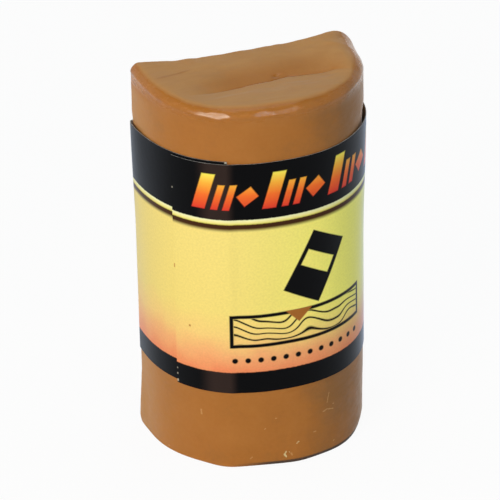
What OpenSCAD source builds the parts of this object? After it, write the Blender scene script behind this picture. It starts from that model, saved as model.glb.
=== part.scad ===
// Soft wax repair stick: a half-round cast wax bar standing on one end, held in a loose sleeve
// made from one printed paper strip whose ends overlap and are glued at the front left.
// Millimetres, +Z up. Origin on the base, in the middle of the outline. The round side faces -Y.

/* [Wax bar] */
// radius of the round side
bar_r = 14.1; // [12.5:0.1:15]
// from the back to the round front
bar_depth = 15.7; // [15.2:0.1:18]
// height standing on end, at the back edge
bar_h = 50.6; // [47:0.1:65]
// rounding of the top rim along the round side
rim_r = 1.8; // [0.8:0.1:2.4]
// hollow of the back, where the cast wax shrank
back_sag = 1.25; // [0.4:0.05:1.8]
// fall of the top from the back edge to the front
top_fall = 0.95; // [0.6:0.05:1.3]
// depth of the fold across the top, below the back edge
fold_drop = 1.2; // [1.0:0.05:1.6]
// from the back edge to the fold
fold_back = 8.5; // [7:0.1:10]
// half of the length over which the fold shows
fold_half = 11; // [8:0.1:12]
// edge of the lip in front of the fold
lip_step = 0.2; // [0.1:0.05:0.3]
// from the fold to where the lip runs out into the top
lip_len = 4.5; // [3:0.1:5.5]
// from the fold to where the slope behind it runs out
slope_len = 4.8; // [3:0.1:6]
// how far the foot spreads past the bar
foot_flare = 0.45; // [0.25:0.05:0.7]
// height over which the foot spreads
foot_h = 7.2; // [4:0.1:7.4]

/* [Paper sleeve] */
// height of the paper strip
label_h = 31.8; // [26:0.1:36]
// height of its lower edge above the base
label_z = 10.75; // [10.5:0.05:13]
// paper thickness
paper_t = 0.1; // [0.08:0.01:0.2]
// sliding clearance between wax and paper
wrap_gap = 0.1; // [0.06:0.01:0.25]
// length of the overlap, along the strip
overlap = 7.3; // [5:0.1:9]
// place of the inner end of the strip, as an angle around the bar
head_angle = 242; // [232:0.5:300]
// width of the slit between the inner end and the step of the outer layer
head_slit = 0.12; // [0.08:0.01:0.3]
// length of the step where the strip climbs onto its own end
step_len = 0.45; // [0.3:0.05:0.8]

/* [Overlap glue] */
// thickness of the glue film
glue_t = 0.03; // [0.02:0.005:0.05]
// clearance between the film and the outer layer
glue_gap = 0.02; // [0.015:0.005:0.05]
// bare margin of the film from the edges of the overlap
glue_margin = 0.8; // [0.4:0.1:1.6]

/* [Hidden] */
$fn = 96;
// from the axis of the round side to the back
axis_back = bar_depth - bar_r;
back_half = sqrt(bar_r * bar_r - axis_back * axis_back);
back_r = (back_half * back_half + back_sag * back_sag) / (2 * back_sag);
far = 4 * bar_r;

// the top slopes, so the rim's rounding starts a little outside the wall to reach it all round
tilt = atan(top_fall / bar_depth);
rim_lead = rim_r / 9;
cap_h = 1.1 * bar_h;
cap_flare = bar_r;

// the fold below the sloping top, and the wide arc along which it runs out to both sides
fold_depth = fold_drop - fold_back * tan(tilt);
fold_turn = (fold_half * fold_half + fold_depth * fold_depth) / (2 * fold_depth);
// how far the cut's two slopes run on above the top, and how high the cut reaches
run_on = 1.5;
cut_reach = 3 * fold_drop;

skin = wrap_gap + paper_t;
// the outer layer of the overlap
tail_in = bar_r + skin + glue_t + glue_gap;
tail_out = tail_in + paper_t;
root_angle = head_angle + head_slit / tail_out * 180 / PI;
step_angle = step_len / tail_out * 180 / PI;
tail_angle = head_angle - overlap / tail_out * 180 / PI;
glue_edge = glue_margin / tail_in * 180 / PI;

// reach of the whole outline to the front and to the back of the axis
front_reach = bar_r + max(foot_flare, skin);
back_reach = axis_back + skin;

// moves the frame of the round side's axis to the part's frame
module placed() {
  translate([0, (front_reach - back_reach) / 2, 0])
    children();
}

// upright outline of the round wall with its foot, from the axis outwards
module wall_profile() {
  polygon([
    [0, 0],
    [bar_r + foot_flare, 0],
    [bar_r, foot_h],
    [bar_r, cap_h],
    [0, cap_h]
  ]);
}

// upright outline of the rounded rim, measured down from the top, wider than the wall below it
module cap_profile() {
  polygon([
    [0, -cap_h],
    [bar_r + rim_lead + cap_flare, -cap_h],
    [bar_r + rim_lead, -rim_r],
    [0, -rim_r]
  ]);
  translate([0, -2 * rim_r])
    square([bar_r + rim_lead - rim_r, 2 * rim_r]);
  translate([bar_r + rim_lead - rim_r, -rim_r])
    circle(rim_r);
}

// what the sloping top and its rounded rim leave of the bar
module cap() {
  translate([0, axis_back, bar_h])
    rotate([tilt, 0, 0])
      translate([0, -axis_back, 0])
        rotate_extrude()
          cap_profile();
}

function beyond(from, to, times) = from + (to - from) * times;

// outline of the fold seen from the side: the slope behind it, its step and the lip in front of it
module fold_profile() {
  fold = [fold_turn, 0];
  slope_end = [fold_turn - fold_depth - slope_len * tan(tilt), slope_len];
  lip_edge = [fold_turn - lip_step, -lip_step];
  lip_end = [fold_turn - fold_depth + lip_len * tan(tilt), -lip_len];
  slope_out = beyond(fold, slope_end, run_on);
  lip_out = beyond(lip_edge, lip_end, run_on);
  inner = fold_turn - cut_reach;
  polygon([
    [inner, lip_out[1]],
    lip_out,
    lip_edge,
    fold,
    slope_out,
    [inner, slope_out[1]]
  ]);
}

// the fold's outline turned about an axis high above the top
module fold_cut() {
  translate([0, axis_back - fold_back, bar_h - fold_drop + fold_turn])
    rotate([-90, 0, 0])
      rotate_extrude($fn = 240)
        fold_profile();
}

// the bar with its sloping top, rounded rim, hollow back and folded top
module bar() {
  difference() {
    intersection() {
      rotate_extrude()
        wall_profile();
      cap();
    }
    translate([-far / 2, axis_back, -1])
      cube([far, far, cap_h + 2]);
    translate([0, axis_back - back_sag + back_r, -1])
      cylinder(h = cap_h + 2, r = back_r);
    fold_cut();
  }
}

// flat outline of the bar, grown evenly, with its back bridged straight
module outline(grow) {
  intersection() {
    circle(bar_r + grow);
    translate([-far / 2, axis_back + grow - far])
      square(far);
  }
}

// flat wedge from the axis outwards
module wedge(from, to) {
  polygon([
    [0, 0],
    [far * cos(from), far * sin(from)],
    [far * cos(to), far * sin(to)]
  ]);
}

// flat band around the axis
module band(inner, outer, from, to) {
  intersection() {
    difference() {
      circle(outer);
      circle(inner);
    }
    wedge(from, to);
  }
}

module sleeve() {
  translate([0, 0, label_z])
    linear_extrude(label_h) {
      difference() {
        outline(skin);
        outline(wrap_gap);
        band(bar_r, tail_out, head_angle, root_angle);
      }
      band(bar_r + wrap_gap, tail_out, root_angle, root_angle + step_angle);
    }
}

module tail() {
  translate([0, 0, label_z])
    linear_extrude(label_h)
      band(tail_in, tail_out, tail_angle, head_angle);
}

module glue() {
  translate([0, 0, label_z + glue_margin])
    linear_extrude(label_h - 2 * glue_margin)
      band(bar_r + skin, bar_r + skin + glue_t, tail_angle + glue_edge, head_angle - glue_edge);
}

module wax_stick() {
  color("#AC713C")
    placed()
      bar();
}

module label_wrap() {
  color("#EFDA82")
    placed()
      sleeve();
}

module label_tail() {
  color("#F2DC84")
    placed()
      tail();
}

module overlap_glue() {
  color("#D9D3C2")
    placed()
      glue();
}

wax_stick();
label_wrap();
label_tail();
overlap_glue();
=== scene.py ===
import math

import bpy
import numpy as np
from mathutils import Matrix, Vector, noise


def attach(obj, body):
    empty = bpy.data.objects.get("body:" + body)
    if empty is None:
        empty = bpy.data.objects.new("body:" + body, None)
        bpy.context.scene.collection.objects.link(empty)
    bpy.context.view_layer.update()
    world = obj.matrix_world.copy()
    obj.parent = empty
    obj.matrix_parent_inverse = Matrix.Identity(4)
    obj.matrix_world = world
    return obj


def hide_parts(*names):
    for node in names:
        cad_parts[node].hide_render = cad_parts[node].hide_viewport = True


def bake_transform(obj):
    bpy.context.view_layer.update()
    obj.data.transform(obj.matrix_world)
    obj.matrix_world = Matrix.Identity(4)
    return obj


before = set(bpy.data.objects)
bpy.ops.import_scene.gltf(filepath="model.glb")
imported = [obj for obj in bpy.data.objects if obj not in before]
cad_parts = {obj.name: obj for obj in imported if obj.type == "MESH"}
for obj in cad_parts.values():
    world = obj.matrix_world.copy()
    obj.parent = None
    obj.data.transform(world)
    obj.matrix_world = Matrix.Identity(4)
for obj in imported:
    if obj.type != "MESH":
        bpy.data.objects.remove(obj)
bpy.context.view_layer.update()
scene = bpy.context.scene
scene.view_settings.view_transform = "Standard"
mm = 0.001
print("frame loaded:", ", ".join(sorted(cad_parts)))


def hexColor(text):
    # sRGB hex to the linear values that sockets take
    parts = [int(text[i:i + 2], 16) / 255 for i in (1, 3, 5)]
    return [p / 12.92 if p <= 0.04045 else ((p + 0.055) / 1.055) ** 2.4 for p in parts] + [1.0]


def addNode(tree, kind, settings=None, links=None):
    # settings are properties or sockets, links feed a socket from a node or from one of its outputs
    node = tree.nodes.new("ShaderNode" + kind)
    for key, value in (settings or {}).items():
        if key == "ramp":
            stops = node.color_ramp.elements
            while len(stops) < len(value):
                stops.new(0.5)
            for stop, (place, tone) in zip(stops, value):
                stop.position, stop.color = place, hexColor(tone)
        elif isinstance(key, str) and hasattr(node, key):
            setattr(node, key, value)
        else:
            node.inputs[key].default_value = value
    for key, source in (links or {}).items():
        tree.links.new(source.outputs[0] if hasattr(source, "outputs") else source, node.inputs[key])
    return node


def freshMaterial(name):
    material = bpy.data.materials.new(name)
    material.use_nodes = True
    material.node_tree.nodes.clear()
    return material, material.node_tree


def inMillimetres(tree):
    # place on the piece, in millimetres
    place = addNode(tree, "TexCoord").outputs["Object"]
    return addNode(tree, "VectorMath", {"operation": "SCALE", "Scale": 1 / mm}, {0: place}).outputs[0]


def joinMasks(tree, masks, how="MAXIMUM"):
    joined = masks[0]
    for mask in masks[1:]:
        joined = addNode(tree, "Math", {"operation": how}, {0: joined, 1: mask})
    return joined


def smooth(low, high, value):
    t = min(1.0, max(0.0, (value - low) / (high - low)))
    return t * t * (3 - 2 * t)


def bell(value, width):
    return math.exp(-(value / width) ** 2)


def waver(size, x, y, z):
    # soft unevenness of a size in millimetres
    return size * noise.noise(Vector((x, y, z)))


def bumps(table, degrees):
    # sum of soft bumps round the bar: place, size and width of each, place and width in degrees
    return sum(size * bell((degrees - place + 180) % 360 - 180, width) for place, size, width in table)


def lineTable(table, value):
    # straight runs between listed points
    return float(np.interp(value, [row[0] for row in table], [row[1] for row in table]))


def selectNothing():
    if bpy.context.mode != "OBJECT":
        bpy.ops.object.mode_set(mode="OBJECT")
    bpy.ops.object.select_all(action="DESELECT")


# outline of the bar from above, in millimetres
barForm = {
    "halfWidth": 14.19,    # at the back
    "reach": 15.96,        # from the back to the round front
    "squareness": 2.3,     # 2 would be an ellipse
    "centreY": 8.175,
    "axisY": 6.375,        # degrees round the bar are measured here, 270 is the front
    "backY": 8.06,
    "backSag": 1.25,       # hollow of the back, where the cast wax shrank
    "cornerSoft": 0.2,     # rounding of the two back corners
}


def closeRing(points):
    return np.vstack([points, points[:1]])


def runAlong(ring):
    # distance of each point from the first one
    return np.concatenate([[0], np.cumsum(np.hypot(*np.diff(ring, axis=0).T))])


def walkPath(loop, step):
    # closed path resampled in even steps
    ring = closeRing(loop)
    run = runAlong(ring)
    at = np.linspace(0, run[-1], int(round(run[-1] / step)) + 1)[:-1]
    return np.stack([np.interp(at, run, ring[:, i]) for i in (0, 1)], 1)


def closedPath(form, grow, backY, sag, soften):
    # from the left back corner round the front to the right one, then along the back
    power = 2 / form["squareness"]
    t = np.linspace(math.pi, 0, 4001)
    x = (form["halfWidth"] + grow) * np.sign(np.cos(t)) * np.abs(np.cos(t)) ** power
    y = form["centreY"] - (form["reach"] + grow) * np.abs(np.sin(t)) ** power
    keep = y <= backY + 1e-9
    front = np.stack([x[keep], y[keep]], 1)
    backX = np.linspace(front[-1, 0], front[0, 0], 1601)[1:-1]
    back = np.stack([backX, backY - sag * (1 - (backX / front[-1, 0]) ** 2)], 1)
    step = 0.05
    loop = walkPath(np.vstack([front, back]), step)
    reach = max(1, int(soften / step))
    for _ in range(2):    # a moving average rounds the corners and leaves the rest
        loop = sum(np.roll(loop, i, 0) for i in range(-reach, reach + 1)) / (2 * reach + 1)
    along = np.roll(loop, -3, 0) - np.roll(loop, 3, 0)
    along /= np.hypot(*along.T)[:, None]
    facing = np.stack([along[:, 1], -along[:, 0]], 1)
    return {"loop": loop, "facing": facing, "run": runAlong(closeRing(loop))}


def pathPoint(path, at):
    # point at a distance along the path, and the way the path faces there
    run = path["run"]
    at = at % run[-1]
    ring, turn = closeRing(path["loop"]), closeRing(path["facing"])
    point = np.array([np.interp(at, run, ring[:, i]) for i in (0, 1)])
    out = np.array([np.interp(at, run, turn[:, i]) for i in (0, 1)])
    return point, out / np.hypot(*out)


def degreesAt(x, y):
    return np.degrees(np.arctan2(y - barForm["axisY"], x)) % 360


# camera of the photograph, in millimetres and pixels
cameraSet = {
    "eye": (-121.7, -400.2, 251.1),
    "target": (-1.452, 1.377, 25.82),
    "roll": 0.020,
    "focalPixels": 3829.0,
    "framePixels": 500,
    "sensor": 36.0,
}


def makeCamera(values):
    data = bpy.data.cameras.new("photoCamera")
    camera = bpy.data.objects.new("photoCamera", data)
    scene.collection.objects.link(camera)
    eye, target = Vector(values["eye"]) * mm, Vector(values["target"]) * mm
    ahead = (target - eye).normalized()
    right = ahead.cross(Vector((0, 0, 1))).normalized()
    up = right.cross(ahead)
    c, s = math.cos(values["roll"]), math.sin(values["roll"])
    side, top = right * c - up * s, right * s + up * c
    turn = Matrix((side, top, -ahead)).transposed().to_4x4()
    camera.matrix_world = Matrix.Translation(eye) @ turn
    data.sensor_fit, data.sensor_width = "HORIZONTAL", values["sensor"]
    data.lens = values["sensor"] * values["focalPixels"] / values["framePixels"]
    data.clip_start, data.clip_end = 0.02, 20
    scene.camera = camera


makeCamera(cameraSet)
print("camera placed")

studioSet = {
    "ambient": 0.27,         # plain light from all round
    "ambientTone": "#DEF0FF",
    "floorTone": "#F4F4F2",
    "floorWhite": 0.93,      # share of the floor that shows as plain white
    "floorSize": 4.0,        # metres
    "floorDrop": 0.03,       # millimetres below the base
    "aimHeight": 28,         # millimetres, where the lamps point
    # place and size in metres, power in watts, tone, whether it may glint
    "lamps": {
        "keyLamp": ((-0.50, -0.42, 0.20), (0.32, 0.10), 2.65, "#FFF6E8", True),      # soft box, front left
        "topLamp": ((0.0, -0.05, 0.70), (0.5, 0.5), 1.6, "#FFFFFF", True),           # wide one overhead
        "fillLamp": ((0.11, -0.595, 0.19), (0.09, 0.045), 0.40, "#EEF6FF", True),    # weak one, front right
        "backLamp": ((0.36, 0.53, 0.06), (0.3, 0.08), 1.2, "#FFFFFF", False),        # low one behind
    },
}


def areaLamp(name, aim, place, size, power, tone, glints):
    data = bpy.data.lights.new(name, "AREA")
    data.shape, data.size, data.size_y, data.energy = "RECTANGLE", size[0], size[1], power
    data.color = hexColor(tone)[:3]
    lamp = bpy.data.objects.new(name, data)
    scene.collection.objects.link(lamp)
    lamp.location = place
    lamp.visible_glossy = glints
    lamp.rotation_euler = (aim - Vector(place)).to_track_quat("-Z", "Y").to_euler()


def backgroundShare(tree):
    # camera, mirror and see-through rays meet the white background
    rays = addNode(tree, "LightPath").outputs
    return joinMasks(tree, [rays["Is Camera Ray"], rays["Is Glossy Ray"], rays["Is Transmission Ray"]])


def makeStudio(values):
    world = bpy.data.worlds.new("studioWorld")
    scene.world = world
    world.use_nodes = True
    tree = world.node_tree
    tree.nodes.clear()
    light = addNode(tree, "Background", {
        "Color": hexColor(values["ambientTone"]), "Strength": values["ambient"],
    })
    way = addNode(tree, "TexCoord").outputs["Generated"]
    upward = addNode(tree, "SeparateXYZ", None, {0: way}).outputs[2]
    sweep = addNode(tree, "MapRange", {      # the white sweep ends overhead
        "interpolation_type": "SMOOTHSTEP",
        "From Min": 0.55, "From Max": 0.92, "To Min": 1.0, "To Max": 0.25,
    }, {"Value": upward})
    white = addNode(tree, "Background", {"Color": hexColor("#FFFFFF")}, {"Strength": sweep})
    both = addNode(tree, "MixShader", None, {0: backgroundShare(tree), 1: light, 2: white})
    addNode(tree, "OutputWorld", None, {"Surface": both})

    aim = Vector((0, 0, values["aimHeight"] * mm))
    for name, lamp in values["lamps"].items():
        areaLamp(name, aim, *lamp)

    selectNothing()
    bpy.ops.mesh.primitive_plane_add(size=values["floorSize"], location=(0, 0, -values["floorDrop"] * mm))
    floor = bpy.context.object
    floor.name = "studio_floor"
    material, tree = freshMaterial("matte_white_table")
    bare = addNode(tree, "BsdfDiffuse", {"Color": hexColor(values["floorTone"])})
    glow = addNode(tree, "Emission", {"Color": hexColor("#FFFFFF"), "Strength": 1.0})
    share = addNode(tree, "Math", {
        "operation": "MULTIPLY", 1: values["floorWhite"],
    }, {0: backgroundShare(tree)})
    both = addNode(tree, "MixShader", None, {0: share, 1: bare, 2: glow})
    addNode(tree, "OutputMaterial", None, {"Surface": both})
    floor.data.materials.append(material)


makeStudio(studioSet)
print("studio lit")

# the wax bar, in millimetres and degrees round the bar
waxSet = {
    "around": 360,                  # points round the outline
    # rings up the wall below, behind and above the sleeve, round the rim and in over the top
    "rowSteps": {"low": 28, "mid": 14, "high": 18, "rim": 14, "top": 83},
    "sleeveLow": 10.2,              # between these heights the sleeve hides the wall
    "sleeveHigh": 43.2,
    "baseMiddle": 0.5,              # y where the rings of the base close
    "baseHollow": 0.15,
    "topMiddle": (0.0, 1.6),        # where the rings of the top close
    "footHeight": 7.6,
    "undercutHeight": 1.3,
    # place, size and width of the foot's bulges, the hollows under them, the swellings above the sleeve
    "footBulges": [
        (173, 0.5, 9), (200, 0.24, 18), (240, 0.42, 9), (276, 0.42, 11), (300, 0.34, 15), (352, -0.12, 18),
    ],
    "undercuts": [(173, 0.26, 8), (335, 0.42, 15)],
    "shoulders": [(172, 0.12, 14), (346, 0.28, 18)],
    "baseRound": 0.16,              # base edge, and where it is rounder
    "baseWorn": [(305, 0.12, 36)],
    "rimRound": 1.3,                # top rim, and where it is rounder or crisper
    "rimWorn": [(356, 2.15, 18), (172, -0.15, 15), (270, 0.15, 30)],
    # flats pressed into the rim: heading and rise of the direction they face, depth
    "flats": [(231, 23, 0.05), (240, 19.5, 0.10), (265, 19.5, 0.07), (271, 21.5, 0.06)],
    # back edge: height, rounding, sag at x with its depth and width, rises from x to x
    "backTop": 50.6,
    "backRound": 0.18,
    "backSag": (-8.5, 0.17, 3.5),
    "backRise": [(-4.0, 2.5, 0.14), (6.0, 12.0, 0.36)],
    "slopeStart": 7.9,              # y from which the top falls towards the fold
    # the fold across the top: x and y of its line, and x where it comes in and fades
    "fold": [(-14, -1.6), (-7, -1.3), (1, -0.55), (3.5, 0.0), (9, -0.2), (13, -1.6)],
    "foldEnds": ((-11.0, -6.0), (7.5, 12.0)),
    "foldLow": 49.4,
    "foldStep": 0.2,
    "foldGroove": 0.09,
    "lipRise": 0.22,
    "lipLength": 4.2,
    "nick": (2.1, 0.75),            # x, and distance behind the fold
    "nickDepth": 0.18,
    "nickWidth": 0.34,
    "shortFold": ((-12.3, 3.2), (4.1, 0.95)),   # at the left: its start, its run in x and in y
    "shortFoldRise": 0.04,
    "cornerFold": ((10.5, 5.0), 0.07, 0.45),    # faint one at the right: place, height, width
    # shares of bloom and painted sheen on the top, of their loss behind the fold, of painted sheen at the
    # sides
    "bloom": 0.8,
    "rubbed": 0.78,
    "sideSheen": [(175, 0.55, 26), (347, 0.16, 15)],
}


def shortFold(values, x, y):
    # distance behind the short fold, and how far it shows there
    (startX, startY), (runX, runY) = values["shortFold"]
    run = (x - startX) / runX
    return y - startY - runY * run, smooth(-0.1, 0.2, run) * smooth(1.25, 0.8, run)


def nickShare(values, x, behind, width):
    # one in the middle of the nick, which is longer across the top
    nickX, nickBehind = values["nick"]
    return bell(math.hypot((x - nickX) * 0.6, behind - nickBehind), width)


def topHeight(values, x, y):
    # the top falls from the crisp back edge to a fold, and a lip stands up again in front of it
    fold = lineTable(values["fold"], x) + waver(0.12, x * 0.5, 7.3, 0)
    comesIn, fades = values["foldEnds"]
    show = smooth(*comesIn, x) * (1 - 0.8 * smooth(*fades, x))
    # the crease is sharpest in the middle
    crease = (0.25 + 0.75 * smooth(-7.0, -1.5, x)) * (1 - 0.5 * smooth(2.5, 6.0, x))
    back = values["backTop"]
    for start, end, rise in values["backRise"]:
        back += rise * smooth(start, end, x)
    sagX, sagDepth, sagWidth = values["backSag"]
    back -= sagDepth * bell(x - sagX, sagWidth)
    low = values["foldLow"]
    gap = fold - y
    slope = min(1.0, max(0.0, (y - fold) / (values["slopeStart"] - fold)))
    step = values["foldStep"] * crease * smooth(-0.05, 0.14, gap)
    lip = values["lipRise"] * smooth(0.1, values["lipLength"], gap)
    folded = low + (back - low) * (1 - (1 - slope) ** 2.1)
    folded += step + lip
    folded -= values["foldGroove"] * crease * bell(gap + 0.14, 0.13)
    plain = back - (back - low - 0.2) * smooth(8.5, -7.5, y) ** 0.9
    z = plain + (folded - plain) * show
    # short fold, faint one at the right back corner, nick behind the long fold
    across, shown = shortFold(values, x, y)
    z += values["shortFoldRise"] * shown * smooth(0.3, -0.1, across) * smooth(-3.5, -0.2, across)
    (cornerX, cornerY), height, width = values["cornerFold"]
    z += height * bell(y - cornerY + 0.5 * (x - cornerX), width) * smooth(cornerX - 1.5, cornerX, x)
    z -= values["nickDepth"] * nickShare(values, x, y - fold, values["nickWidth"])
    # uneven back edge, drag marks along the lip, hand-worked unevenness of soft wax
    uneven = waver(0.09, x * 0.5, 0.0, 8.4) + waver(0.045, x * 1.3, 0.0, 2.6)
    z += uneven * smooth(5.2, 7.0, y)
    z += waver(0.035, x * 0.22, y * 1.5, 3.1) * smooth(0.0, 1.0, gap) * show
    z += waver(0.05, x * 0.35, y * 0.45, 1.7)
    z += waver(0.016, x * 1.3, y * 1.4, 5.2)
    return z


def rimSize(values, x, y):
    return values["rimRound"] + bumps(values["rimWorn"], degreesAt(x, y))


def roundedTop(values, x, y):
    # the rim's rounding runs on to the back edge, where the back cuts it off
    a, b, n = barForm["halfWidth"], barForm["reach"], barForm["squareness"]
    u, v = abs(x) / a, abs(y - barForm["centreY"]) / b
    f = max(1e-6, (u ** n + v ** n) ** (1 / n))
    slope = f ** (1 - n) * math.hypot(u ** (n - 1) / a, v ** (n - 1) / b)
    inside = max(0.0, (1 - f) / slope)
    r = rimSize(values, x, y)
    drop = r - math.sqrt(max(0.0, r * r - (r - inside) ** 2)) if inside < r else 0.0
    return topHeight(values, x, y) - drop


def waxOutline():
    return closedPath(barForm, 0.0, barForm["backY"], barForm["backSag"], barForm["cornerSoft"])


def rimFlats(values, ring):
    # direction each flat faces and how far out it lies
    flats = []
    for heading, rise, depth in values["flats"]:
        h, v = math.radians(heading), math.radians(rise)
        face = Vector((math.cos(h) * math.cos(v), math.sin(h) * math.cos(v), math.sin(v)))
        point, out = max(ring, key=lambda spot: spot[1][0] * face.x + spot[1][1] * face.y)
        x, y = point - out * rimSize(values, *point) * (1 - math.cos(v))
        flats.append((face, face.dot(Vector((x, y, roundedTop(values, x, y)))) - depth))
    return flats


def pressFlats(flats, at):
    # a point past a flat is pressed back onto it
    for face, reach in flats:
        past = face.dot(at) - reach
        at = at - face * max(0.0, past) * smooth(0, 0.03, past)
    return at


def waxRing(path, count):
    # more points where the outline turns at the two back corners
    run = path["run"]
    corner = run[np.argmax(path["loop"] @ np.array([0.8, 0.6]))]
    fine = np.linspace(0, run[-1], 6001)
    near = np.minimum(np.minimum(fine, run[-1] - fine), np.abs(fine - corner))
    weight = np.cumsum(1 + 3.0 * np.exp(-(near / 0.8) ** 2))
    weight = (weight - weight[0]) / (weight[-1] - weight[0])
    return [pathPoint(path, at) for at in np.interp(np.arange(count) / count, weight, fine)]


def footOffset(values, degrees, z):
    spread = bumps(values["footBulges"], degrees) * max(0.0, 1 - z / values["footHeight"]) ** 0.8
    return spread - bumps(values["undercuts"], degrees) * max(0.0, 1 - z / values["undercutHeight"]) ** 2


def makeWax(values):
    count = values["around"]
    ring = waxRing(waxOutline(), count)
    flats = rimFlats(values, ring)
    # rings of the base by their share of the way out, of its edge by degrees, then by shares of each run
    rows = [("base", t) for t in (0.0, 0.1, 0.3, 0.55, 0.8, 0.94)]
    rows += [("edge", t) for t in (0, 30, 60)]
    rows.append(("low", 0.0))    # the wall starts on the base edge
    for kind, steps in values["rowSteps"].items():
        rows += [(kind, t) for t in np.linspace(0, 1, steps + 1)[1:]]

    selectNothing()
    bpy.ops.mesh.primitive_circle_add(vertices=count, radius=barForm["halfWidth"] * mm)
    bar = bpy.context.object
    bar.name = "soft_wax_bar"
    bpy.ops.object.mode_set(mode="EDIT")
    bpy.ops.mesh.select_all(action="SELECT")
    for _ in rows[1:]:    # the wall grows ring by ring
        bpy.ops.mesh.extrude_region_move(TRANSFORM_OT_translate={"value": (0, 0, mm)})
    bpy.ops.mesh.select_all(action="DESELECT")
    bpy.ops.object.mode_set(mode="OBJECT")

    spots = []
    for point, out in ring:
        crisp = smooth(-0.2, 0.75, out[1])      # the back keeps a crisp edge
        rim = rimSize(values, *point)
        rim += (values["backRound"] - rim) * crisp
        # near the back the rim's rows stop early and the top takes over
        rimDrop = values["backRound"] + 0.9 * max(0.0, values["slopeStart"] - point[1])
        degrees = degreesAt(*point)
        spots.append({
            "point": point, "out": out, "degrees": degrees, "rim": rim,
            "span": math.acos(max(0.0, 1 - rimDrop / rim)),
            "crispDrop": crisp * values["backRound"],
            "edge": values["baseRound"] + bumps(values["baseWorn"], degrees),
            "side": 1 - crisp * smooth(13.5, 8.0, abs(point[0])),      # swellings run out along the back
        })

    def basePoint(spot, kind, value):
        edge = spot["edge"]
        turn = math.radians(value) if kind == "edge" else 0.0
        spread = footOffset(values, spot["degrees"], 0) * spot["side"] - edge * (1 - math.sin(turn))
        x, y = spot["point"] + spot["out"] * spread
        if kind == "edge":
            return x, y, edge * (1 - math.cos(turn))
        middle = values["baseMiddle"]
        return x * value, middle + (y - middle) * value, values["baseHollow"] * smooth(1.0, 0.5, value)

    def wallPoint(spot, kind, value):
        point, degrees = spot["point"], spot["degrees"]
        low, high = values["sleeveLow"], values["sleeveHigh"]
        start, end = {
            "low": (spot["edge"], low), "mid": (low, high), "high": (high, rimPoint(spot, "rim", 0)[2]),
        }[kind]
        z = start + (end - start) * value
        bare = 1 - smooth(5.0, 7.4, z) * smooth(46.5, 43.5, z)     # under the sleeve it stays true
        wave = waver(0.05, point[0] * 0.22, point[1] * 0.22, z * 0.16)
        wave += waver(0.02, point[0] * 0.9, point[1] * 0.9, z * 0.7)
        wave = (wave - 0.05) * (0.15 + 0.85 * bare)     # hollows only, so that the sleeve slides over
        swelling = footOffset(values, degrees, z)
        swelling += bumps(values["shoulders"], degrees) * smooth(42.5, 44.5, z)
        x, y = point + spot["out"] * (swelling * spot["side"] + wave)
        at = Vector((x, y, z))
        return pressFlats(flats, at) if kind == "high" else at

    def rimPoint(spot, kind, value):
        point, out, rim = spot["point"], spot["out"], spot["rim"]
        turn = spot["span"] * value
        at = point - out * rim * (1 - math.cos(turn))
        z = roundedTop(values, *at) - spot["crispDrop"] * (1 - math.sin(turn))
        swell = waver(0.07, point[0] * 0.45, point[1] * 0.45, z * 0.6 + 4)
        swell += waver(0.025, point[0] * 1.6, point[1] * 1.6, z * 1.6)
        swell *= math.sin(2 * turn) * min(1.0, rim) * math.sin(math.pi * value)
        shoulder = bumps(values["shoulders"], spot["degrees"]) * spot["side"] * math.cos(turn)
        x, y = at + out * (swell * math.cos(turn) + shoulder)
        return pressFlats(flats, Vector((x, y, z + swell * math.sin(turn))))

    def topPoint(spot, kind, value):
        middle = np.array(values["topMiddle"])
        inner = spot["point"] - spot["out"] * spot["rim"] * (1 - math.cos(spot["span"]))
        x, y = middle + (inner - middle) * (1 - value)
        return x, y, roundedTop(values, x, y)

    place = {"base": basePoint, "edge": basePoint, "rim": rimPoint, "top": topPoint}
    step = 2 * math.pi / count
    for vertex in bar.data.vertices:
        k = int(round(math.atan2(vertex.co.y, vertex.co.x) / step)) % count
        row = int(round(vertex.co.z / mm))
        kind, value = rows[row]
        vertex.co = Vector(place.get(kind, wallPoint)(spots[k], kind, value)) * mm
        vertex.select = row in (0, len(rows) - 1)
    bpy.ops.object.mode_set(mode="EDIT")
    bpy.ops.mesh.remove_doubles(threshold=0.001 * mm)     # each end ring closes in a point
    bpy.ops.mesh.select_all(action="SELECT")
    bpy.ops.mesh.normals_make_consistent(inside=False)
    bpy.ops.object.mode_set(mode="OBJECT")
    bpy.ops.object.shade_smooth_by_angle(angle=math.radians(50))
    return bar


def addBloomAndSheen(bar, values):
    # dull bloom with a painted sheen of grazing reflection on the upper side, less of both behind the fold,
    # in the short fold and in the nick, and a painted sheen at both sides
    bloom = bar.data.attributes.new("bloom", "FLOAT", "POINT")
    for vertex in bar.data.vertices:
        x, y, z = vertex.co / mm
        behind = y - lineTable(values["fold"], x)
        share = values["bloom"] * smooth(0.83, 0.97, vertex.normal.z) * smooth(46, 48, z)
        # less bloom and painted sheen behind the fold, where the top tilts towards the front
        rubbed = smooth(-0.05, 0.1, behind) * smooth(5.0, 1.2, behind) * smooth(-10.5, -3.0, x)
        share *= 1 - values["rubbed"] * rubbed * smooth(13.0, 4.0, x)
        share *= 1 - 0.9 * nickShare(values, x, behind, 0.5)
        across, shown = shortFold(values, x, y)
        share *= 1 - 0.8 * shown * bell(across, 0.2)
        # painted sheen of grazing light at both sides, strongest at the left, where the key lamp is
        sideSheen = bumps(values["sideSheen"], degreesAt(x, y)) * smooth(48.5, 47.0, z)
        sideSheen *= smooth(0.7, 0.1, vertex.normal.y)
        bloom.data[vertex.index].value = max(share, sideSheen)


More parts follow.
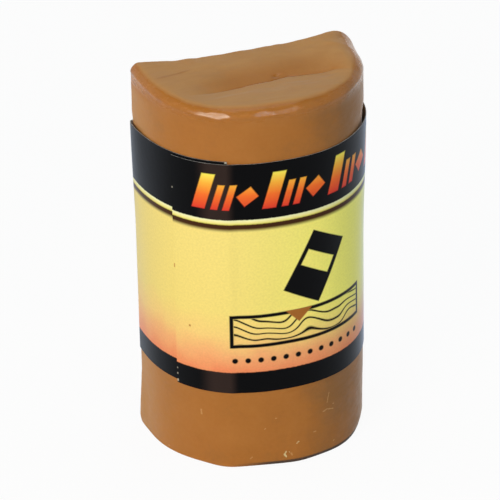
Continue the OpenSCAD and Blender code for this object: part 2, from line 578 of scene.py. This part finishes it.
waxLook = {
    "tones": [(0.0, "#8A5B26"), (0.5, "#A46622"), (1.0, "#AC6E2C")],
    # the base shade tone paints shade under the base edge
    "bloom": "#CA9B60", "baseShade": "#2E2722", "chip": "#DCCB94", "scratch": "#C89A62",
    "roughness": 0.52, "rimPolish": 0.27,
    # crumbs pressed into the foot, as strokes: degrees and height of both ends, half width in millimetres
    "chips": [
        ((269.8, 1.65), (268.9, 1.3), 0.10), ((268.9, 1.3), (269.8, 0.9), 0.12),
        ((275.7, 2.6), (276.5, 2.8), 0.11), ((271.2, 1.6), (271.5, 1.5), 0.06),
    ],
    # thin scratches, in the same way
    "scratches": [
        ((290.7, 6.0), (293.2, 6.2), 0.09), ((293.2, 6.2), (297.0, 5.9), 0.08),
        ((294.8, 8.4), (293.4, 7.1), 0.07), ((284.9, 3.6), (286.0, 3.6), 0.09),
        ((296.5, 1.3), (297.0, 1.4), 0.10), ((251.8, 1.1), (252.6, 1.3), 0.09),
        ((272.4, 1.3), (272.8, 1.1), 0.14), ((297.2, 6.6), (297.5, 6.6), 0.08),
        ((264.8, 6.6), (265.3, 6.6), 0.08), ((259.0, 5.2), (259.5, 5.3), 0.08),
        ((205.0, 0.4), (206.0, 0.5), 0.10), ((227.0, 7.6), (227.2, 7.0), 0.12),
    ],
}


def strokeMask(tree, inMm, wobble, outline, stroke):
    # one on a short stroke along the wall, with ragged sides
    first, last, half = stroke
    ends = []
    for degrees, z in (first, last):
        i = np.argmin(np.abs(degreesAt(*outline["loop"].T) - degrees))
        x, y = outline["loop"][i] + outline["facing"][i] * footOffset(waxSet, degrees, z)
        ends.append(Vector((x, y, z)))
    line = ends[1] - ends[0]
    fromStart = addNode(tree, "VectorMath", {"operation": "SUBTRACT", 1: ends[0]}, {0: inMm})
    share = addNode(tree, "VectorMath", {
        "operation": "DOT_PRODUCT", 1: line / line.length_squared,
    }, {0: fromStart})
    share = addNode(tree, "Clamp", None, {0: share.outputs["Value"]})
    nearest = addNode(tree, "VectorMath", {"operation": "SCALE", 0: line}, {"Scale": share})
    far = addNode(tree, "VectorMath", {"operation": "DISTANCE"}, {0: fromStart, 1: nearest})
    edge = addNode(tree, "Math", {"operation": "ADD"}, {0: far.outputs["Value"], 1: wobble})
    return addNode(tree, "MapRange", {"From Min": half * 1.3, "From Max": half * 0.6}, {"Value": edge})


def softWax(values):
    # soft cast wax blend: opaque, a little see-through at edges, satin skin with rubbed and dragged places
    material, tree = freshMaterial("soft_cast_wax")
    inMm = inMillimetres(tree)
    where = addNode(tree, "SeparateXYZ", None, {0: inMm}).outputs
    # 6 mm patches, and pigment grain, really finer, drawn at 0.45 mm to show
    cloud = addNode(tree, "TexNoise", {"Scale": 1 / 6.0, "Detail": 3.0}, {"Vector": inMm})
    grain = addNode(tree, "TexNoise", {"Scale": 1 / 0.45, "Detail": 2.0}, {"Vector": inMm})
    blend = addNode(tree, "Math", {"operation": "MULTIPLY_ADD", 1: 0.30}, {0: grain, 2: cloud})
    tone = addNode(tree, "MapRange", {
        "From Min": 0.40, "From Max": 0.92, "To Min": 0.3, "To Max": 0.9,
    }, {"Value": blend})
    rightShade = addNode(tree, "MapRange", {      # painted shade: the wall is darker to the right, away from the key lamp
        "interpolation_type": "SMOOTHSTEP", "From Min": -3.0, "From Max": 10.0, "To Max": 0.6,
    }, {"Value": where[0]})
    wall = addNode(tree, "MapRange", {"From Min": 48.8, "From Max": 47.4}, {"Value": where[2]})
    rightShade = addNode(tree, "Math", {"operation": "MULTIPLY"}, {0: rightShade, 1: wall})
    tone = addNode(tree, "Math", {"operation": "SUBTRACT"}, {0: tone, 1: rightShade})
    color = addNode(tree, "ValToRGB", {"ramp": values["tones"]}, {0: tone})

    # dull bloom and painted sheen, streaky where the top was wiped: streaks about 3 mm long and 1 mm wide
    stretch = addNode(tree, "VectorMath", {"operation": "MULTIPLY", 1: (0.33, 0.95, 1.9)}, {0: inMm})
    drag = addNode(tree, "TexNoise", {"Scale": 1.0, "Detail": 4.0, "Roughness": 0.6}, {"Vector": stretch})
    wiped = addNode(tree, "MapRange", {
        "From Min": 0.32, "From Max": 0.68, "To Min": 0.58, "To Max": 0.82,
    }, {"Value": drag})
    bloom = addNode(tree, "Attribute", {"attribute_name": "bloom"}).outputs["Fac"]
    dull = addNode(tree, "Math", {"operation": "MULTIPLY"}, {0: bloom, 1: wiped})

    # painted shade along the base edge at the right, where it meets the floor
    under = addNode(tree, "MapRange", {
        "From Min": 0.55, "From Max": 0.36, "To Max": 0.92,
    }, {"Value": where[2]})
    side = addNode(tree, "MapRange", {"From Min": -7.0, "From Max": -2.0}, {"Value": where[0]})
    under = addNode(tree, "Math", {"operation": "MULTIPLY"}, {0: under, 1: side})

    # scratches, then pale crumbs: share of their tone, raggedness of their sides in millimetres
    # the bloom tone carries a painted sheen as well
    layers = [(dull, "bloom"), (under, "baseShade")]
    outline = waxOutline()
    torn = addNode(tree, "TexNoise", {"Scale": 1 / 0.25, "Detail": 2.0}, {"Vector": inMm})
    for kind, tone, share, ragged in (("scratches", "scratch", 0.5, 0.16), ("chips", "chip", 0.8, 0.22)):
        wobble = addNode(tree, "Math", {
            "operation": "MULTIPLY_ADD", 1: ragged, 2: -ragged / 2,
        }, {0: torn})
        strokes = [strokeMask(tree, inMm, wobble, outline, stroke) for stroke in values[kind]]
        marks = addNode(tree, "Math", {"operation": "MULTIPLY", 1: share}, {0: joinMasks(tree, strokes)})
        layers.append((marks, tone))
    for mask, tone in layers:
        color = addNode(tree, "Mix", {
            "data_type": "RGBA", 7: hexColor(values[tone]),
        }, {0: mask, 6: color}).outputs[2]

    # satin skin, smoother on the handled rim, where the share of bloom and painted sheen is nought
    shine = addNode(tree, "MapRange", {
        "From Min": 0.3, "From Max": 0.7,
        "To Min": values["roughness"] - 0.08, "To Max": values["roughness"] + 0.08,
    }, {"Value": drag})
    handled = addNode(tree, "MapRange", {
        "interpolation_type": "SMOOTHSTEP",
        "From Min": 46.8, "From Max": 48.3, "To Min": 0.0, "To Max": values["rimPolish"],
    }, {"Value": where[2]})
    clear = addNode(tree, "MapRange", {"From Min": 0.15, "From Max": 0.0}, {"Value": bloom})
    handled = addNode(tree, "Math", {"operation": "MULTIPLY"}, {0: handled, 1: clear})
    shine = addNode(tree, "Math", {"operation": "SUBTRACT"}, {0: shine, 1: handled})
    relief = addNode(tree, "Math", {"operation": "MULTIPLY_ADD", 1: 0.35}, {0: grain, 2: drag})
    bump = addNode(tree, "Bump", {"Strength": 0.55, "Distance": 0.05 * mm}, {"Height": relief})
    skin = addNode(tree, "BsdfPrincipled", {
        "IOR": 1.44, "Specular IOR Level": 0.36, "Sheen Weight": 0.35, "Sheen Roughness": 0.25,
        "Subsurface Weight": 0.10, "Subsurface Radius": (1.0, 0.45, 0.2), "Subsurface Scale": 1.2 * mm,
    }, {"Base Color": color, "Roughness": shine, "Normal": bump})
    addNode(tree, "OutputMaterial", None, {"Surface": skin})
    return material


wax = makeWax(waxSet)
addBloomAndSheen(wax, waxSet)
wax.data.materials.append(softWax(waxLook))
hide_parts("wax_stick")
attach(wax, "bar")
print("wax bar:", len(wax.data.polygons), "faces")

# the printed strip, in millimetres; "along" runs from its free end to the right, once round the bar
stripSet = {
    "height": 31.76,
    "lowEdge": 10.66,        # of the free end
    "climb": 0.0042,         # the strip was wrapped a little askew
    "freeEnd": 10.2,         # from the left back corner, along the front
    "overlap": 7.5,
    "faceOut": 0.11,         # printed side, from the outline of the bar
    "ripple": 0.02,
    "thickness": 0.1,
    "layerLift": 0.15,       # the outer layer lies on the inner end and its glue
    "stepLength": 1.3,       # over which the strip climbs onto its own end
    "cornerSoft": 0.3,
    "column": 0.3,           # width of one face
    "rows": 24,
    # where the upper edge stands off the wax: place along the strip, how far, width, from which height
    "standOff": [(32.0, 0.42, 5.0, 14.0), (68.5, 0.28, 3.5, 16.0)],
    "peelUp": 16,            # height and lift of the line that the free end curls along
    "peelLift": 0.1,
    "curlTo": 1.8,           # it curls from its root to here
}


def stripPath():
    return closedPath(barForm, stripSet["faceOut"], barForm["centreY"], 0.0, stripSet["cornerSoft"])


def stripPoint(values, path, along, up, lift):
    away = values["ripple"] * (1 + waver(1, along * 0.25, up * 0.12, 2.0))
    for place, size, width, low in values["standOff"]:
        away += size * bell(along - place, width) * smooth(low, values["height"], up)
    point, out = pathPoint(path, values["freeEnd"] + along)
    x, y = point + out * (lift + away)
    return Vector((x, y, values["lowEdge"] + values["climb"] * along + up)) * mm


def makeStrip(name, values, first, last, low, high, lift, thickness, materials):
    columns = max(8, int(round((last - first) / values["column"])))
    path = stripPath()
    selectNothing()
    bpy.ops.mesh.primitive_grid_add(x_subdivisions=columns, y_subdivisions=values["rows"], size=1)
    strip = bpy.context.object
    strip.name = name
    printMap = strip.data.uv_layers[0]
    printMap.name = "printMap"
    where = [
        (first + (v.co.x + 0.5) * (last - first), low + (v.co.y + 0.5) * (high - low))
        for v in strip.data.vertices
    ]
    for loop in strip.data.loops:    # one unit of the map is 100 mm of paper
        along, up = where[loop.vertex_index]
        printMap.data[loop.index].uv = (along / 100, up / 100)
    for vertex, (along, up) in zip(strip.data.vertices, where):
        vertex.co = stripPoint(values, path, along, up, lift(along))
    for material in materials:
        strip.data.materials.append(material)
    wall = strip.modifiers.new("paper", "SOLIDIFY")
    wall.thickness, wall.offset = thickness * mm, -1.0
    wall.material_offset, wall.material_offset_rim = 1, 2    # inner side and cut edge, where there are such
    wall.use_even_offset = True
    bpy.ops.object.modifier_apply(modifier=wall.name)
    bpy.ops.object.shade_smooth_by_angle(angle=math.radians(40))
    return strip


def outerLift(along):
    overlap, step = stripSet["overlap"], stripSet["stepLength"]
    return stripSet["layerLift"] * smooth(overlap + step, overlap, along)


# print on the strip, in millimetres along it and above its lower edge; boxes are a middle and a half size
printArt = {
    "field": [(0.09, "#EC8A5C"), (0.16, "#F2AC72"), (0.25, "#F4CE7C"), (0.36, "#F1D97B"), (0.7, "#F1DB7F")],
    "rightTintAndCoolLight": "#FFFC78",      # the yellow turns paler and greener to the right: partly print, partly painted cool light
    "ink": "#040405", "overlapReflectionTone": "#2F231F",
    "stripe": [(0.0, "#C9BA44"), (0.3, "#EFE488"), (0.65, "#F2ECA8"), (1.0, "#F0F0BE")],
    "shade": "#412510",
    "motifTones": [(0.0, "#DE3A2C"), (0.4, "#F0702C"), (0.72, "#F5AE3C"), (1.0, "#F5E65A")],
    "bareSpot": "#BFB8A6",
    "waxTone": "#A5652C", "fleck": "#B8742E",
    "flecks": [((0.1, 16.6), (0.07, 0.26)), ((2.2, 8.8), (0.12, 0.12))],
    # spots rubbed down to the fibre
    "rubs": [
        ((0.1, 0.35), (0.1, 0.16)), ((0.07, 1.3), (0.07, 0.09)),
        ((0.07, 2.1), (0.06, 0.07)), ((0.08, 27.4), (0.06, 0.08)),
    ],
    "lowBand": 2.94, "stripeLow": 23.57, "stripeHigh": 24.22,
    "board": ((17.0, 8.7), (9.6, 2.3)), "boardLine": 0.48, "grainPitch": 1.1,
    "gougeAt": 16.2, "gougeHalf": 1.25,
    "stick": ((18.6, 16.4), (2.7, 4.3)), "collar": ((18.9, 17.0), (2.1, 1.1)), "stickLean": -0.5,
    "dotRow": ((17.0, 4.6), (9.6, 0.8)), "dotPitch": 1.6, "dotRadius": 0.36,
    "motifSpan": ((12.3, 28.0), (17.4, 2.6)), "motifPitch": 8.75, "motifStart": 5.2, "motifLean": 0.30,
    "bars": [((1.3, 28.0), (0.85, 2.4)), ((3.3, 27.3), (0.42, 1.7)), ((4.75, 27.3), (0.42, 1.7))],
    "lozenge": ((6.9, 27.4), (0.95, 0.95)),
    "motifLow": 25.6, "motifHigh": 30.4,
    "edge": 0.07,                # softness of a printed edge
}


def boxMark(tree, along, up, middle, half, turn=0.0):
    # one inside a turned box, with a soft edge
    soft = printArt["edge"]
    x = addNode(tree, "Math", {"operation": "SUBTRACT", 1: middle[0]}, {0: along})
    y = addNode(tree, "Math", {"operation": "SUBTRACT", 1: middle[1]}, {0: up})
    flat = addNode(tree, "CombineXYZ", None, {0: x, 1: y})
    flat = addNode(tree, "VectorRotate", {"rotation_type": "Z_AXIS", "Angle": -turn}, {"Vector": flat})
    flat = addNode(tree, "VectorMath", {"operation": "ABSOLUTE"}, {0: flat})
    flat = addNode(tree, "VectorMath", {"operation": "SUBTRACT", 1: (half[0], half[1], 0)}, {0: flat})
    sides = addNode(tree, "SeparateXYZ", None, {0: flat}).outputs
    far = addNode(tree, "Math", {"operation": "MAXIMUM"}, {0: sides[0], 1: sides[1]})
    return addNode(tree, "MapRange", {"From Min": soft, "From Max": -soft}, {"Value": far})


def inked(tree, color, mask, tone):
    # prints a tone, or a colour that another node gives, over the colour below
    fixed = isinstance(tone, str)
    settings = {"data_type": "RGBA", 7: hexColor(tone)} if fixed else {"data_type": "RGBA"}
    links = {0: mask, 6: color} if fixed else {0: mask, 6: color, 7: tone}
    return addNode(tree, "Mix", settings, links).outputs[2]


def boardPicture(tree, art, color, along, up, paper):
    # black picture of a stick held over a board with a filled gouge, and a dotted rule
    middle, half = art["board"]
    board = boxMark(tree, along, up, middle, half)
    inner = boxMark(tree, along, up, middle, (half[0] - art["boardLine"], half[1] - art["boardLine"]))
    outline = addNode(tree, "Math", {"operation": "SUBTRACT"}, {0: board, 1: inner})
    wave = addNode(tree, "TexNoise", {"Scale": 0.16, "Detail": 1.0}, {"Vector": paper})
    bent = addNode(tree, "Math", {"operation": "MULTIPLY_ADD", 1: 5.0}, {0: wave, 2: up})
    lines = addNode(tree, "Math", {"operation": "PINGPONG", 1: art["grainPitch"] / 2}, {0: bent})
    grain = addNode(tree, "MapRange", {"From Min": 0.20, "From Max": 0.06}, {"Value": lines})
    grain = addNode(tree, "Math", {"operation": "MULTIPLY"}, {0: grain, 1: inner})
    stick = boxMark(tree, along, up, *art["stick"], turn=art["stickLean"])
    collar = boxMark(tree, along, up, *art["collar"], turn=art["stickLean"])
    stick = addNode(tree, "Math", {"operation": "SUBTRACT", "use_clamp": True}, {0: stick, 1: collar})
    acrossDot = addNode(tree, "Math", {"operation": "PINGPONG", 1: art["dotPitch"] / 2}, {0: along})
    dotPlace = addNode(tree, "CombineXYZ", None, {0: acrossDot, 1: up})
    dotFar = addNode(tree, "VectorMath", {
        "operation": "DISTANCE", 1: (0, art["dotRow"][0][1], 0),
    }, {0: dotPlace})
    dots = addNode(tree, "MapRange", {
        "From Min": art["dotRadius"] + art["edge"], "From Max": art["dotRadius"] - art["edge"],
    }, {"Value": dotFar.outputs["Value"]})
    dots = joinMasks(tree, [dots, boxMark(tree, along, up, *art["dotRow"])], "MULTIPLY")
    color = inked(tree, color, joinMasks(tree, [outline, grain, stick, dots]), art["ink"])
    gougeMiddle, gougeHalf = (art["gougeAt"], middle[1] + half[1]), (art["gougeHalf"], art["gougeHalf"])
    gouge = boxMark(tree, along, up, gougeMiddle, gougeHalf, turn=math.pi / 4)
    gouge = addNode(tree, "Math", {"operation": "MULTIPLY"}, {0: gouge, 1: board})
    return inked(tree, color, gouge, art["waxTone"])


def motifRow(tree, art, color, along, up):
    # row of slanted bars and lozenges on the upper band, yellow at the top and red at the foot
    lean = addNode(tree, "Math", {"operation": "MULTIPLY_ADD", 1: -art["motifLean"]}, {0: up, 2: along})
    span = boxMark(tree, lean, up, *art["motifSpan"])
    pitch = art["motifPitch"]
    row = addNode(tree, "Math", {      # whole pitches keep it above nought
        "operation": "ADD", 1: art["motifStart"] + 10 * pitch,
    }, {0: lean})
    row = addNode(tree, "Math", {"operation": "MODULO", 1: pitch}, {0: row})
    marks = [boxMark(tree, row, up, *bar) for bar in art["bars"]]
    marks.append(boxMark(tree, row, up, *art["lozenge"], turn=math.pi / 4))
    marks = addNode(tree, "Math", {"operation": "MULTIPLY"}, {0: joinMasks(tree, marks), 1: span})
    rise = addNode(tree, "MapRange", {
        "From Min": art["motifLow"], "From Max": art["motifHigh"],
    }, {"Value": up})
    return inked(tree, color, marks, addNode(tree, "ValToRGB", {"ramp": art["motifTones"]}, {0: rise}))


def printedPaper(art, length):
    # gloss-coated paper with process print: smooth coat, even black, faint dots in the tints,
    # bare fibres at rubbed edges
    material, tree = freshMaterial("gloss_coated_printed_paper")
    uv = addNode(tree, "UVMap", {"uv_map": "printMap"})
    paper = addNode(tree, "VectorMath", {"operation": "SCALE", "Scale": 100.0}, {0: uv}).outputs[0]    # mm
    parts = addNode(tree, "SeparateXYZ", None, {0: paper}).outputs
    along, up = parts[0], parts[1]
    # print dots are finer, drawn at 0.28 mm to show; the tint has 4 mm patches
    dots = addNode(tree, "TexNoise", {"Scale": 1 / 0.28, "Detail": 1.0}, {"Vector": paper})
    mottle = addNode(tree, "TexNoise", {"Scale": 1 / 4.0, "Detail": 3.0}, {"Vector": paper})
    ragged = addNode(tree, "Math", {"operation": "MULTIPLY_ADD", 1: 0.10, 2: -0.05}, {0: dots})
    edgeUp = addNode(tree, "Math", {"operation": "ADD"}, {0: up, 1: ragged})

    # yellow field that turns salmon towards the lower band, and paler and greener to the right: partly
    # print, partly painted cool light
    shift = addNode(tree, "Math", {"operation": "MULTIPLY_ADD", 1: 3.2, 2: -1.6}, {0: mottle})
    sway = addNode(tree, "Math", {"operation": "ADD"}, {0: up, 1: shift})
    share = addNode(tree, "MapRange", {"From Min": 0.0, "From Max": 32.0}, {"Value": sway})
    color = addNode(tree, "ValToRGB", {"ramp": art["field"]}, {0: share}).outputs[0]
    ease = {"interpolation_type": "SMOOTHSTEP"}
    turns = [addNode(tree, "MapRange", {**ease, "From Min": a, "From Max": b}, {"Value": source})
             for source, a, b in ((along, 4.0, 27.0), (along, 60.0, 40.0), (up, 4.0, 12.0))]
    turn = joinMasks(tree, turns, "MULTIPLY")
    turn = addNode(tree, "Math", {"operation": "MULTIPLY", 1: 0.85}, {0: turn})
    color = inked(tree, color, turn, art["rightTintAndCoolLight"])
    speck = addNode(tree, "MapRange", {
        "From Min": 0.3, "From Max": 0.7, "To Min": 0.96, "To Max": 1.03,
    }, {"Value": dots})
    color = addNode(tree, "Mix", {
        "data_type": "RGBA", "blend_type": "MULTIPLY", 0: 1.0,
    }, {6: color, 7: speck}).outputs[2]
    flecks = [boxMark(tree, along, up, *fleck) for fleck in art["flecks"]]
    color = inked(tree, color, joinMasks(tree, flecks), art["fleck"])
    color = boardPicture(tree, art, color, along, up, paper)

    # soft brown shade under the pale stripe, then the stripe
    low, high, band = art["stripeLow"], art["stripeHigh"], art["lowBand"]
    shade = addNode(tree, "MapRange", {
        **ease, "From Min": low - 1.1, "From Max": low - 0.45,
    }, {"Value": up})
    color = inked(tree, color, shade, art["shade"])
    rise = addNode(tree, "MapRange", {"From Min": low, "From Max": high}, {"Value": up})
    stripe = addNode(tree, "ValToRGB", {"ramp": art["stripe"]}, {0: rise})
    isStripe = addNode(tree, "MapRange", {
        "From Min": low - 0.05, "From Max": low + 0.05,
    }, {"Value": edgeUp})
    color = inked(tree, color, isStripe, stripe)

    # black bands, with a painted warm reflection on the overlap, where the free end lies over the inner one
    bands = [addNode(tree, "MapRange", {"From Min": a, "From Max": b}, {"Value": edgeUp})
             for a, b in ((high - 0.05, high + 0.05), (band + 0.06, band - 0.06))]
    overlapReflectionShare = [addNode(tree, "MapRange", {**ease, "From Min": a, "From Max": b}, {"Value": along})
             for a, b in ((3.2, 5.4), (stripSet["overlap"] + 1.0, stripSet["overlap"] - 0.3))]
    black = addNode(tree, "Mix", {
        "data_type": "RGBA", 6: hexColor(art["ink"]), 7: hexColor(art["overlapReflectionTone"]),
    }, {0: joinMasks(tree, overlapReflectionShare, "MULTIPLY")}).outputs[2]
    color = inked(tree, color, joinMasks(tree, bands), black)
    color = motifRow(tree, art, color, along, up)

    # rubbed fibres here and there along the two ends and the cut edges
    rub = addNode(tree, "TexNoise", {"Scale": 1 / 0.5, "Detail": 3.0, "Roughness": 0.7}, {"Vector": paper})
    fromTop = addNode(tree, "Math", {"operation": "SUBTRACT", 0: stripSet["height"]}, {1: up})
    fromEnd = addNode(tree, "Math", {"operation": "SUBTRACT", 0: length}, {1: along})
    edgeFar = joinMasks(tree, [along, up, fromTop, fromEnd], "MINIMUM")
    reach = addNode(tree, "MapRange", {
        "From Min": 0.68, "From Max": 0.84, "To Min": 0.0, "To Max": 0.18,
    }, {"Value": rub})
    worn = addNode(tree, "Math", {"operation": "SUBTRACT"}, {0: edgeFar, 1: reach})
    worn = addNode(tree, "MapRange", {"From Min": -0.01, "From Max": -0.05}, {"Value": worn})
    headCorner = ((length - 0.1, stripSet["height"] - 0.08), (0.17, 0.13))
    rubs = [boxMark(tree, along, up, *spot) for spot in art["rubs"] + [headCorner]]
    color = inked(tree, color, joinMasks(tree, rubs + [worn]), art["bareSpot"])

    # the coat: a little uneven, with 0.7 mm ripples
    rough = addNode(tree, "MapRange", {"To Min": 0.27, "To Max": 0.36}, {"Value": mottle})
    ripple = addNode(tree, "TexNoise", {"Scale": 1 / 0.7, "Detail": 2.0}, {"Vector": paper})
    bump = addNode(tree, "Bump", {"Strength": 0.25, "Distance": 0.03 * mm}, {"Height": ripple})
    face = addNode(tree, "BsdfPrincipled", {
        "IOR": 1.5, "Specular IOR Level": 0.05,
        "Sheen Weight": 0.6, "Sheen Roughness": 0.3, "Sheen Tint": hexColor("#C4DCFF"),
    }, {"Base Color": color, "Roughness": rough, "Normal": bump})
    addNode(tree, "OutputMaterial", None, {"Surface": face})
    return material


def paperFibre(name, tones):
    # uncoated side of the paper: warm white, dull, with short fibres; on the cut edge ink greys it
    material, tree = freshMaterial(name)
    fibre = addNode(tree, "TexNoise", {
        "Scale": 1 / 0.4, "Detail": 4.0, "Roughness": 0.65,
    }, {"Vector": inMillimetres(tree)})
    color = addNode(tree, "ValToRGB", {"ramp": tones}, {0: fibre})
    bump = addNode(tree, "Bump", {"Strength": 0.4, "Distance": 0.03 * mm}, {"Height": fibre})
    face = addNode(tree, "BsdfPrincipled", {
        "IOR": 1.5, "Roughness": 0.85, "Specular IOR Level": 0.2,
    }, {"Base Color": color, "Normal": bump})
    addNode(tree, "OutputMaterial", None, {"Surface": face})
    return material


path = stripPath()
innerStart = path["run"][-1]    # where the free end lies over the inner one
stripLength = innerStart + stripSet["overlap"]
paperSides = [
    printedPaper(printArt, stripLength),
    paperFibre("uncoated_paper_fibre", [(0.3, "#D9D4C6"), (0.6, "#E9E5DA"), (0.8, "#F1EEE6")]),
    paperFibre("cut_paper_edge", [(0.3, "#73726F"), (0.6, "#A8A6A0"), (0.8, "#D8D5CC")]),
]
whole = (0.0, stripSet["height"], outerLift, stripSet["thickness"], paperSides)
wrap = makeStrip("paper_sleeve", stripSet, stripSet["overlap"], stripLength, *whole)
tail = makeStrip("paper_free_end", stripSet, 0.0, stripSet["overlap"], *whole)
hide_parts("label_wrap")
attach(wrap, "sleeve")
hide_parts("label_tail")
root = stripPoint(stripSet, path, stripSet["overlap"], stripSet["peelUp"], stripSet["peelLift"])
curled = stripPoint(stripSet, path, stripSet["curlTo"], stripSet["peelUp"], stripSet["peelLift"])
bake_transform(tail)
stripFaces = len(wrap.data.polygons) + len(tail.data.polygons)
print("strip: %.1f mm long, %d faces" % (stripLength, stripFaces))

# film between the two ends of the strip, in millimetres
glueSet = {
    "margin": 0.8, "topMargin": 1.15,
    "thickness": 0.03, "clearance": 0.012,
    "tones": [(0.35, "#B9AE92"), (0.65, "#D8D2BF")],
}


def driedGlue(values):
    # dried label glue: thin film in 1.2 mm ripples, glossy where it flowed and dull where it pulled away
    material, tree = freshMaterial("dried_label_glue")
    ripple = addNode(tree, "TexNoise", {"Scale": 1 / 1.2, "Detail": 3.0}, {"Vector": inMillimetres(tree)})
    color = addNode(tree, "ValToRGB", {"ramp": values["tones"]}, {0: ripple})
    rough = addNode(tree, "MapRange", {"To Min": 0.2, "To Max": 0.6}, {"Value": ripple})
    bump = addNode(tree, "Bump", {"Strength": 0.6, "Distance": 0.03 * mm}, {"Height": ripple})
    film = addNode(tree, "BsdfPrincipled", {
        "IOR": 1.48,
    }, {"Base Color": color, "Roughness": rough, "Normal": bump})
    addNode(tree, "OutputMaterial", None, {"Surface": film})
    return material


def innerLift(along):
    # the film lies on the strip's inner end
    return glueSet["clearance"] + glueSet["thickness"]


glue = makeStrip(
    "glue_film", stripSet, innerStart + glueSet["margin"], stripLength - glueSet["margin"],
    glueSet["margin"], stripSet["height"] - glueSet["topMargin"], innerLift, glueSet["thickness"],
    [driedGlue(glueSet)])
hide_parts("overlap_glue")
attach(glue, "sleeve")
print("glue film:", len(glue.data.polygons), "faces")
